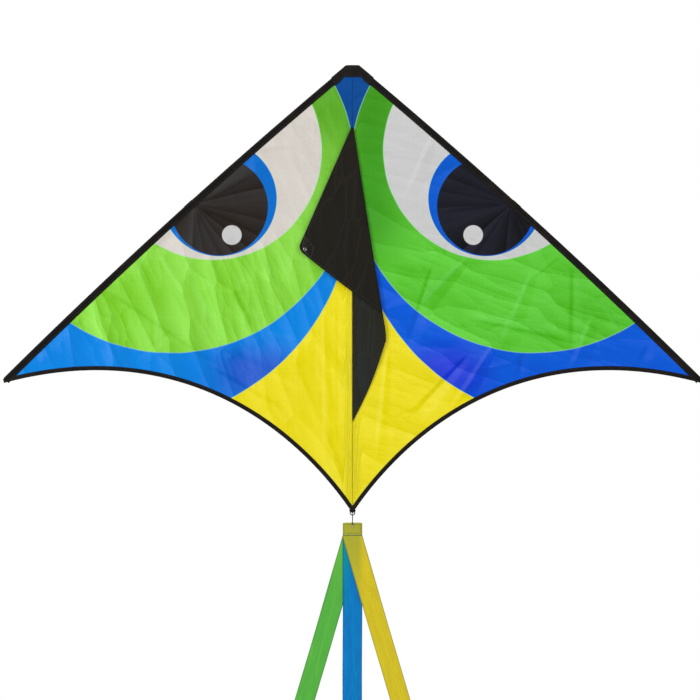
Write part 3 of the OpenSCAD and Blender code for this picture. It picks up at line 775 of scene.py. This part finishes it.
def sleeve(side):
    """The sewn tube along a leading edge, open at the back over the spreader's fitting."""
    bm = bmesh.new()
    ring = [(SLEEVE_WIDTH, 0.0006), (0.0118, 0.0007), (0.0094, 0.0009), (0.0082, 0.0016)]
    around = np.radians(np.linspace(36, 324, 17))
    ring += [(ROD_INSET + TUBE_RADIUS * cos(a), TUBE_RADIUS * sin(a)) for a in around]
    ring += [(inset, -y) for inset, y in ring[3::-1]]
    line = []
    for inset, y in ring:
        x, z = on_edge(SLEEVE_START, inset)
        line.append(bm.verts.new((x, y, z)))
    edges = [bm.edges.new(pair) for pair in zip(line, line[1:])]
    bmesh.ops.spin(bm, geom=line + edges, cent=(EDGE_CENTRE.x, 0, EDGE_CENTRE.y), axis=(0, 1, 0), steps=184,
                   angle=EDGE_TURN - SLEEVE_START / EDGE_RADIUS, use_merge=False, use_duplicate=False)
    run, width = cloth_layers(bm)
    drop = SPREADER_Z - EDGE_CENTRE.y
    seat = (EDGE_START - atan2(drop, sqrt((EDGE_RADIUS - ROD_INSET) ** 2 - drop ** 2))) * EDGE_RADIUS
    for vert in bm.verts:
        reach = Vector((vert.co.x - EDGE_CENTRE.x, vert.co.z - EDGE_CENTRE.y))
        along = (EDGE_START - atan2(reach.y, reach.x)) * EDGE_RADIUS
        inset = EDGE_RADIUS - reach.length
        vert[run], vert[width] = along, inset + (0.02 if vert.co.y > 0 else 0.0)
        round_up = min(ease(0.034, 0.050, along), ease(EDGE_LENGTH, EDGE_LENGTH - 0.0055, along))
        thin = 0.0006 + 0.0002 * noise.noise((along * 60, 3, 0))
        flat = thin if vert.co.y > 0 else -thin
        if inset < 0.0006:
            flat = 0.0
        pucker = 0.00028 * noise.noise((along * 130, inset * 300, vert.co.y * 200)) * float(ease(0.0, 0.012, inset))
        vert.co.y = flat + (vert.co.y - flat) * float(round_up) + pucker * (1 if vert.co.y > 0 else -1)
    half_gap = 0.0160
    gap = [f for f in bm.faces if f.calc_center_median().y > 0.0011 and
           abs(sum(v[run] for v in f.verts) / len(f.verts) - seat) < half_gap]
    bmesh.ops.delete(bm, geom=gap, context="FACES")
    face_outwards(bm)
    for inset in (0.0100, 0.0128):
        sew_both_faces(bm, [on_edge(d, inset) for d in np.linspace(0.046, EDGE_LENGTH - 0.004, 120)], 0.00125)
    if side == "left":
        bmesh.ops.scale(bm, vec=(-1, 1, 1), verts=bm.verts)
        bmesh.ops.reverse_faces(bm, faces=bm.faces)
    piece = make("edge_sleeve_" + side, bm, [webbing_finish, thread_finish],
                 ["sleeve_" + side], wall=0.00045, offset=-1.0)
    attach(piece, "wing_" + side)
    return piece


def binding(side):
    """Folded tape along a trailing edge."""
    bm = bmesh.new()
    thick = {"left": 0.00105, "right": 0.00085}[side]
    loop = [(BINDING_WIDTH, 0.6), (0.0080, 0.85), (0.0060, 0.95), (0.0030, 1.0), (0.0010, 1.0), (0.0, 0.55)]
    loop = loop + [(w, -y) for w, y in loop[::-1]]
    loop = np.array(loop + loop[:1])
    parts = np.linspace(0, 1, 300)
    lengths = np.linalg.norm(np.diff(trailing(parts), axis=0), axis=1)
    far = np.concatenate([[0], np.cumsum(lengths)])

    def shape(u, v):
        w, y = between_corners(loop, u).T
        at = trailing(v, w)
        run = np.interp(v, parts, far)
        y = y * thick + 0.00018 * np.array([noise.noise((r * 90, q * 260, 7)) for r, q in zip(run, w)])
        return mirror_for(side, np.stack([at[:, 0], y, at[:, 1]], 1)), run, w + np.where(y > 0, 0.02, 0.0)

    spread_out(bm, len(loop) - 1, 190, shape)
    bmesh.ops.remove_doubles(bm, verts=bm.verts, dist=0.00002)
    bmesh.ops.holes_fill(bm, edges=[e for e in bm.edges if e.is_boundary], sides=0)
    face_outwards(bm)
    sew_both_faces(bm, mirror_for(side, trailing(np.linspace(0.012, 0.985, 150), 0.0068)), thick + 0.00008)
    piece = make("edge_binding_" + side, bm, [webbing_finish, thread_finish],
                 ["binding_" + side] + (["rear_corner"] if side == "right" else []))
    bend_beside_spine(piece, side)
    return piece


def nose_wrap(side):
    """Half of the webbing folded over the nose, with an arm down the leading edge."""
    bm = bmesh.new()
    outer = np.array([(0.0, 0.0018), (0.0065, 0.0018), (0.0134, 0.0014)] +
                     [on_edge(d, -0.0013) for d in (0.006, 0.014, 0.022, 0.030, 0.0375)])
    inner = np.array([(0.0, -0.0220), (0.0085, -0.0219), (0.0165, -0.0222), (0.0195, -0.0246), on_edge(0.0285, 0.0166),
                      on_edge(0.033, 0.0163), on_edge(0.038, 0.0162), on_edge(0.0430, 0.0160)])

    def shape(u, v):
        a, c = between_corners(outer, v), between_corners(inner, v)
        at = a + (c - a) * u[:, None]
        places = np.stack([at[:, 0], 0.0002 * ripple(at[:, 0], at[:, 1], 0.012, 2.2), at[:, 1]], 1)
        return mirror_for(side, places), at[:, 1], at[:, 0]

    spread_out(bm, 18, 42, shape)
    face_outwards(bm)
    bmesh.ops.solidify(bm, geom=bm.faces[:], thickness=0.0036)
    middle = sum(v.co.y for v in bm.verts) / len(bm.verts)
    bmesh.ops.translate(bm, verts=bm.verts, vec=(0, -middle, 0))
    rims = [e for e in bm.edges if len(e.link_faces) == 2 and e.calc_face_angle(0) > 1.0
            and abs(e.verts[0].co.x + e.verts[1].co.x) > 0.0006]
    bmesh.ops.bevel(bm, geom=rims, offset=0.0009, affect="EDGES", segments=2, profile=0.5, material=-1)
    for row in ([(0.0004, -0.0198), (0.0160, -0.0198), (0.0205, -0.0235), on_edge(0.0300, 0.0142)],
                [(0.0004, -0.0030), (0.0118, -0.0032), on_edge(0.006, 0.0024), on_edge(0.0362, 0.0022)]):
        row.append(on_edge(0.0415, 0.0140))
        sew_both_faces(bm, mirror_for(side, np.array(row)), 0.00185, pitch=0.0034)
    piece = make("nose_wrap_" + side, bm, [webbing_finish, thread_finish],
                 ["nose_flap_" + side] + (["nose_patch"] if side == "right" else []), soft_angle=50)
    bend_beside_spine(piece, side)
    return piece


def spine_pocket():
    """The tape sewn down the back that holds the spine rod."""
    bm = bmesh.new()
    ring = [(-0.0062, 0.0009), (-0.0052, 0.0010), (-0.0045, 0.0016), (-0.0046, 0.0034)]
    ring += [(-0.0046 * cos(a), 0.0054 + 0.0046 * sin(a)) for a in np.radians(np.linspace(4, 176, 13))]
    ring += [(-x, y) for x, y in ring[3::-1]]
    ring = np.array(ring)

    def shape(u, v):
        z = -0.0085 - 0.8735 * v
        x, y = between_corners(ring, u).T
        closing = ease(-0.0085, -0.0150, z)
        y = 0.0012 + (y - 0.0012) * closing
        slack = 0.00022 * ripple(x * 3, z, 0.010, 6.0) * (y > 0.0014)
        return np.stack([x * (1 + slack * 40), y - np.abs(slack) * 0.6, z], 1), -z, u * (len(ring) - 1) * 0.0012

    spread_out(bm, len(ring) - 1, 230, shape)
    face_outwards(bm)
    if bm.faces[len(bm.faces) // 2].normal.y < 0:
        bmesh.ops.reverse_faces(bm, faces=bm.faces)
    for x in (-0.0056, 0.0056):
        stitch_row(bm, [(x, 0.00135, z) for z in np.linspace(-0.016, -0.878, 60)])
    piece = make("spine_tape", bm, [pocket_finish, thread_finish], ["spine_pocket"],
                 wall=0.0004, offset=-1.0)
    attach(piece, "spine")
    return piece


# ---------------------------------------------------------------- keel
KEEL_APEX = np.array((0.0, KEEL_TOP))
FOLD_LOW = np.array((0.0652, -0.5541))
FOLD_HIGH = np.array((0.0559, -0.4918))
KEEL_TIP = np.array((-0.1095, -0.3670))
EYELET = Vector((-0.0950, -0.0045, -0.3670))
# Parts of the way round the keel's rim: the folded strip bends from ROLL to ROLLED, and the tip rounds from ROUND.
ROLL, ROLLED, ROUND = 0.40, 0.52, 0.93
KEEL_START = 0.015
KEEL_HEM, KEEL_REACH = 0.0058, 0.42
PATCH_Y, PATCH_SIDES = -0.0050, 40


def part_of(value, low, high):
    return (value - low) / (high - low)


def keel():
    """One triangle of cloth on the middle seam, folded back over itself with a soft roll at the fold."""
    bm = bmesh.new()
    rear = np.array((0.0, KEEL_REAR))

    def shape(u, v):
        far = KEEL_START + (1 - KEEL_START) * u
        rim = np.zeros((len(v), 2))
        roll = np.zeros(len(v))
        inner, bend = v < ROLL, (v >= ROLL) & (v < ROLLED)
        outer, tip = (v >= ROLLED) & (v < ROUND), v >= ROUND
        t = v[inner] / ROLL
        rim[inner] = rear + (FOLD_LOW - rear) * t[:, None]
        rim[inner] += np.stack([0.004 * np.sin(pi * t), -0.003 * np.sin(pi * t)], 1)
        turn = part_of(v[bend], ROLL, ROLLED) * pi
        rim[bend] = FOLD_LOW + (FOLD_HIGH - FOLD_LOW) * ((1 - np.cos(turn)) / 2)[:, None]
        roll[bend] = np.sin(turn)
        t = part_of(v[outer], ROLLED, ROUND)
        before = KEEL_TIP + (FOLD_HIGH - KEEL_TIP) * 0.075
        rim[outer] = FOLD_HIGH + (before - FOLD_HIGH) * t[:, None]
        rim[outer, 1] -= 0.0025 * np.sin(pi * t)
        t = part_of(v[tip], ROUND, 1.0)[:, None]
        after = KEEL_TIP + (KEEL_APEX - KEEL_TIP) * 0.050
        rim[tip] = (1 - t) ** 2 * before + 2 * t * (1 - t) * KEEL_TIP + t ** 2 * after
        swing = np.clip(part_of(v, ROLL, ROLLED), 0, 1) * pi
        depth = -0.0018 - 0.00135 * (1 - np.cos(swing))
        at = KEEL_APEX + (rim - KEEL_APEX) * far[:, None]
        at[:, 0] += roll * (0.0012 + 0.0032 * far ** 2)
        past = ease(0.46, 0.60, v) * ease(1.0, 0.70, v)
        billow = past * far ** 1.6 * 0.0032 * (1 + 0.25 * np.sin(14 * v))
        soft = 0.00030 * ripple(at[:, 0], at[:, 1], 0.035, 8.0)
        soft = soft + 0.0005 * ease(ROLL, ROLLED, v) * ripple(at[:, 0] * 2.2, at[:, 1] * 0.7, 0.03, 5.0)
        front = depth - billow + soft * ease(0.02, 0.2, far)
        front = np.where(v < 0.38, np.clip(front, -0.0024, -0.0012), front)
        front = np.where(v > 0.54, np.minimum(front, -0.0043), front)
        from_rim = np.linalg.norm(rim - KEEL_APEX, axis=1) * (1 - far)
        from_luff = np.where(v > 0.6, (1 - v) * 0.55 * far, 1.0)
        return np.stack([at[:, 0], front, at[:, 1]], 1), v, np.minimum(from_rim, from_luff)

    spread_out(bm, 90, 200, shape)
    face_outwards(bm)
    hem = np.full(60, part_of(1 - KEEL_HEM / KEEL_REACH, KEEL_START, 1.0))
    rows = [(hem, np.linspace(low, high, 60), face)
            for low, high, face in ((0.01, 0.385, -1), (0.535, 0.925, -1), (0.535, 0.925, 1))]
    rows += [(np.linspace(0.06, 0.93, 60), np.full(60, 0.985), face) for face in (-1, 1)]
    for u, v, face in rows:
        places, _, _ = shape(u, v)
        stitch_row(bm, places + np.array((0, face * 0.00042, 0)))
    piece = make("keel_cloth", bm, [keel_finish, thread_finish], ["keel_inner", "keel_outer"],
                 wall=0.0004)
    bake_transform(piece, "keel_root", "keel_tip", start=(0, -0.0029, 0), end=(0, -0.0036, 0))
    return piece


def keel_corner():
    """The doubled cloth at the keel's tip."""
    bm = bmesh.new()
    to_rear = (FOLD_HIGH - KEEL_TIP) / np.linalg.norm(FOLD_HIGH - KEEL_TIP)
    to_apex = (KEEL_APEX - KEEL_TIP) / np.linalg.norm(KEEL_APEX - KEEL_TIP)
    middle = (to_rear + to_apex) / np.linalg.norm(to_rear + to_apex)
    corners = [Vector(corner) for corner in (
        KEEL_TIP + middle * 0.0064 + to_rear * 0.0030, KEEL_TIP + to_rear * 0.031 + middle * 0.0014,
        KEEL_TIP + to_rear * 0.022 + to_apex * 0.016 + middle * 0.010, KEEL_TIP + to_apex * 0.031 + middle * 0.0014,
        KEEL_TIP + middle * 0.0064 + to_apex * 0.0030)]
    sides = list(zip(corners, corners[1:] + corners[:1]))
    ring = [a.lerp(c, i / 8) for a, c in sides for i in range(8)]
    upright = Matrix.Translation((EYELET.x, PATCH_Y, EYELET.z)) @ Matrix.Rotation(pi / 2, 4, "X")
    hole = bmesh.ops.create_circle(bm, segments=PATCH_SIDES, radius=0.0024, matrix=upright)["verts"]

    def bearing(x, z):
        return atan2(z - EYELET.z, x - EYELET.x)

    start = min(range(PATCH_SIDES), key=lambda i: abs(bearing(hole[i].co.x, hole[i].co.z) - bearing(*ring[0])))
    first, second = (Vector((vert.co.x - EYELET.x, vert.co.z - EYELET.z)) for vert in hole[:2])
    same_way = (corners[1] - corners[0]).cross(corners[3] - corners[0]) * first.cross(second - first) > 0
    edges = list(bm.edges)
    order = {hole[(start + (i if same_way else -i)) % PATCH_SIDES]: i for i in range(PATCH_SIDES)}
    centre = {i: vert.co.copy() for vert, i in order.items()}
    for step in (0.15, 0.3, 0.5, 0.7, 0.88, 1.0):
        out = bmesh.ops.extrude_edge_only(bm, edges=edges)["geom"]
        edges = [g for g in out if isinstance(g, bmesh.types.BMEdge)]
        order = {vert: order[near] for vert in out if isinstance(vert, bmesh.types.BMVert)
                 for edge in vert.link_edges for near in edge.verts if near in order}
        for vert, i in order.items():
            p = centre[i].lerp(Vector((ring[i].x, centre[i].y, ring[i].y)), step)
            vert.co = (p.x, PATCH_Y - 0.0001 * sin(i * 1.3 + step * 5), p.z)
    face_outwards(bm)
    inwards = Vector((EYELET.x + 0.006, EYELET.z))
    for side in sides:
        a, c = (corner.lerp(inwards, 0.10) for corner in side)
        if (a - c).length > 0.006:
            stitch_row(bm, [(a.x, -0.00555, a.y), (c.x, -0.00555, c.y)], pitch=0.0032)
    piece = make("keel_corner_patch", bm, [keel_finish, thread_finish], ["keel_patch"], wall=0.0006)
    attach(piece, "keel_tip")
    return piece


def eyelet():
    """A rolled metal eyelet: front flange, barrel and back washer in one turned profile."""
    bm = bmesh.new()
    profile = [(0.0021, 0.0), (0.0021, -0.0010), (0.0023, -0.00132), (0.0027, -0.00148), (0.0031, -0.00135),
               (0.00322, -0.00105), (0.0030, -0.00092), (0.0025, -0.00088), (0.0025, 0.0), (0.0025, 0.00032),
               (0.0030, 0.00036), (0.0032, 0.0005), (0.0031, 0.0007), (0.0026, 0.0008), (0.0022, 0.00072),
               (0.0021, 0.00045)]
    verts = [bm.verts.new(EYELET + Vector((r, y, 0))) for r, y in profile]
    edges = [bm.edges.new(pair) for pair in zip(verts, verts[1:] + verts[:1])]
    bmesh.ops.spin(bm, geom=verts + edges, cent=EYELET, axis=(0, 1, 0), angle=2 * pi, steps=48, use_merge=True)
    bmesh.ops.remove_doubles(bm, verts=bm.verts, dist=1e-6)
    face_outwards(bm)
    piece = make("line_eyelet_ring", bm, [metal_finish], ["keel_eyelet", "keel_washer"],
                 soft_angle=60)
    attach(piece, "keel_tip")
    return piece


# ---------------------------------------------------------------- tail
def twisted_loop():
    """Three strands twisted into the cord loop at the rear corner."""
    bm = bmesh.new()
    centre_z = REAR_CORNER + 0.001
    loop_radius, strand_radius, apart = 0.0045, 0.0006, 0.00052
    for strand in range(3):
        def shape(u, v, strand=strand):
            turn, around = 2 * pi * v, 2 * pi * u
            twist = turn * 9 + strand * 2 * pi / 3
            r = loop_radius + apart * np.cos(twist) + strand_radius * np.cos(around)
            y = apart * np.sin(twist) + strand_radius * np.sin(around)
            places = np.stack([r * np.sin(turn), y, centre_z + r * np.cos(turn)], 1)
            return places, turn * loop_radius, around * strand_radius
        spread_out(bm, 8, 130, shape)
    bmesh.ops.remove_doubles(bm, verts=bm.verts, dist=0.00001)
    face_outwards(bm)
    piece = make("corner_loop", bm, [cord_finish], ["tail_loop"])
    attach(piece, "spine")
    return piece


def tail_head():
    """Three ribbon ends laid on each other and sewn, with a hole for the wire link."""
    bm = bmesh.new()
    low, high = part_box("tail_head")
    for layer, y in enumerate((-0.00074, 0.0, 0.00074)):
        slip = (0.0, 0.0005, -0.0004)[layer]
        upright = Matrix.Translation((0, y, HEAD_HOLE_Z)) @ Matrix.Rotation(pi / 2, 4, "X")
        hole = bmesh.ops.create_circle(bm, segments=48, radius=HEAD_HOLE_RADIUS, matrix=upright)["verts"]
        half = RIBBON_WIDTH / 2 - 0.0002 + slip * 0.3
        above, below = high.z - abs(slip) * 0.5 - HEAD_HOLE_Z, HEAD_HOLE_Z - low.z - 0.0004
        edges = list({e for v in hole for e in v.link_edges})
        for step in (0.06, 0.14, 0.3, 0.5, 0.7, 0.9, 1.0):
            out = bmesh.ops.extrude_edge_only(bm, edges=edges)["geom"]
            edges = [g for g in out if isinstance(g, bmesh.types.BMEdge)]
            for vert in (g for g in out if isinstance(g, bmesh.types.BMVert)):
                way = Vector((vert.co.x, vert.co.z - HEAD_HOLE_Z)).normalized()
                reach = min(half / max(abs(way.x), 1e-6), (above if way.y > 0 else below) / max(abs(way.y), 1e-6))
                r = HEAD_HOLE_RADIUS + (reach - HEAD_HOLE_RADIUS) * step
                vert.co.x, vert.co.z = way.x * r, HEAD_HOLE_Z + way.y * r
    run, width = cloth_layers(bm)
    for vert in bm.verts:
        vert[run], vert[width] = high.z - vert.co.z, vert.co.x
        vert.co.y += 0.00016 * noise.noise((vert.co.x * 120, vert.co.y * 900, vert.co.z * 120))
    face_outwards(bm)
    x0, z0, z1 = RIBBON_WIDTH / 2 - 0.0035, high.z - 0.0035, low.z + 0.0042
    box_row = [(-x0, z0), (x0, z0), (x0, z1), (-x0, z1), (-x0, z0)]
    ring = [(0.0030 * cos(a), HEAD_HOLE_Z + 0.0030 * sin(a)) for a in np.linspace(0, 2 * pi, 17)]
    for row, pitch in ((box_row, 0.0030), (ring, 0.0018)):
        sew_both_faces(bm, row, 0.00108, pitch=pitch)
    piece = make("ribbon_head", bm, [head_finish, pale_thread_finish], ["tail_head"], wall=0.00046)
    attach(piece, "head")
    return piece


def ribbon(name, depth, lean, finish, seed):
    """A hanging ribbon with soft waves, tucked into the head at its top."""
    bm = bmesh.new()
    a = radians(lean)
    tuck = 0.006 if name == "blue" else 0.0014  # the middle ribbon reaches in between the folded layers

    def shape(u, v):
        run = -tuck + (RIBBON_LENGTH + tuck) * v
        across = (u - 0.5) * RIBBON_WIDTH
        down = np.maximum(run, 0)
        straight = ease(0.0, 0.016, run)
        x = across * (1 + (1 / cos(a) - 1) * (1 - straight)) + down * sin(a)
        z = RIBBON_TOP - down * cos(a) - np.minimum(run, 0) + across * sin(a) * straight
        x = x + across * (cos(a) - 1) * straight
        wave = 0.00055 * np.sin(run * 19 + seed) + 0.0004 * np.sin(run * 47 + seed * 2 + u * 1.2)
        curl = 0.00035 * ripple(u * 0.05, run, 0.03, seed)
        tucked = ease(0.008, -0.002, run)
        y = depth * (1 - 0.12 * tucked) + (wave + curl) * ease(0.0, 0.12, run) * 0.55
        x = x + 0.0006 * np.sin(run * 13 + seed) * ease(0.05, 0.3, run)
        return np.stack([x, y, z], 1), run, across

    spread_out(bm, 18, 230, shape)
    face_outwards(bm)
    piece = make("tail_ribbon_" + name, bm, [finish], ["ribbon_" + name], wall=0.00035)
    if name == "blue":
        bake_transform(piece, "head", "blue", start=(0, 0, -0.9370), end=(0, 0, -0.9450))
    else:
        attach(piece, name)
    return piece


# ---------------------------------------------------------------- building the kite

for side in ("left", "right"):
    cloth = sail(side)
    goes_with = [sleeve(side), binding(side), nose_wrap(side)]
    if side == "right":
        goes_with.append(spine_pocket())
keel_sheet = keel()
keel_corner()
eyelet()
twisted_loop()
head = tail_head()
for ribbon_look in (("blue", 0.0, 0.0, blue_finish, 1.0), ("yellow", -0.0014, 16.2, yellow_finish, 3.4),
                    ("green", 0.0014, -16.2, green_finish, 5.9)):
    ribbon(*ribbon_look)

node_finishes = {"spine_rod": spine_finish, "spreader_rod": spreader_finish, "tail_link": link_finish,
                 "spine_cap_nose": cap_finish, "spine_cap_tail": cap_finish}
for side in ("left", "right"):
    node_finishes.update({"spar_" + side: spar_finish, "fitting_" + side: fitting_finish,
                          "spar_cap_nose_" + side: cap_finish, "spar_cap_tip_" + side: cap_finish,
                          "spreader_cap_" + side: cap_finish})
for node, finish in node_finishes.items():
    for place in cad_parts[node].material_slots:
        place.material = finish

# ---------------------------------------------------------------- studio
floor_mesh = bpy.data.meshes.new("studio_floor")
bm = bmesh.new()
bmesh.ops.create_circle(bm, segments=96, radius=8.0, cap_ends=True,
                        matrix=Matrix.Translation((0, 0, -2.5)))
bm.to_mesh(floor_mesh)
bm.free()


def floor_paint(b):
    place = b.add("ShaderNodeTexCoord", out=3)
    cloud = b.noise(place, 2.0, 2.0)
    return {"Base Color": b.dye(cloud, (240, 240, 240), (246, 246, 246)), "Roughness": 0.9}


floor_mesh.materials.append(finish_of("Pale floor", floor_paint))
put_in_scene("studio_floor", floor_mesh)


def soft_light(name, place, aim, size, power):
    data = bpy.data.lights.new(name, "AREA")
    data.shape, data.size, data.energy = "DISK", size, power
    lamp = put_in_scene(name, data)
    lamp.location = place
    lamp.rotation_euler = (Vector(aim) - Vector(place)).to_track_quat("-Z", "Y").to_euler()


soft_light("key", (-2.6, -2.2, 1.4), (0, 0, -0.5), 1.2, 62)
soft_light("fill", (2.8, -3.6, -0.4), (0, 0, -0.5), 2.5, 26)
soft_light("back", (0.8, 3.2, 1.2), (0, 0, -0.5), 2.0, 60)

world = bpy.data.worlds.new("studio")
bpy.context.scene.world = world
world.use_nodes = True
world.node_tree.nodes.clear()
b = Bench(world.node_tree)
around = b.add("ShaderNodeBackground", {"Color": (1, 1, 1, 1), "Strength": 0.60})
seen = b.add("ShaderNodeBackground", {"Color": (1, 1, 1, 1), "Strength": 1.0})
ray = b.add("ShaderNodeLightPath")
b.add("ShaderNodeOutputWorld", {0: b.add("ShaderNodeMixShader", (ray, around, seen))})

lens = bpy.data.cameras.new("camera")
CAMERA_FAR, SEEN_WIDTH = 5.0, 1.4
lens.sensor_width, lens.lens = 36.0, 36.0 * CAMERA_FAR / SEEN_WIDTH
camera = put_in_scene("camera", lens)
camera.location, camera.rotation_euler = (-0.005, -CAMERA_FAR, -0.568), (pi / 2, 0, 0)
bpy.context.scene.camera = camera
bpy.context.scene.view_settings.view_transform = "Standard"
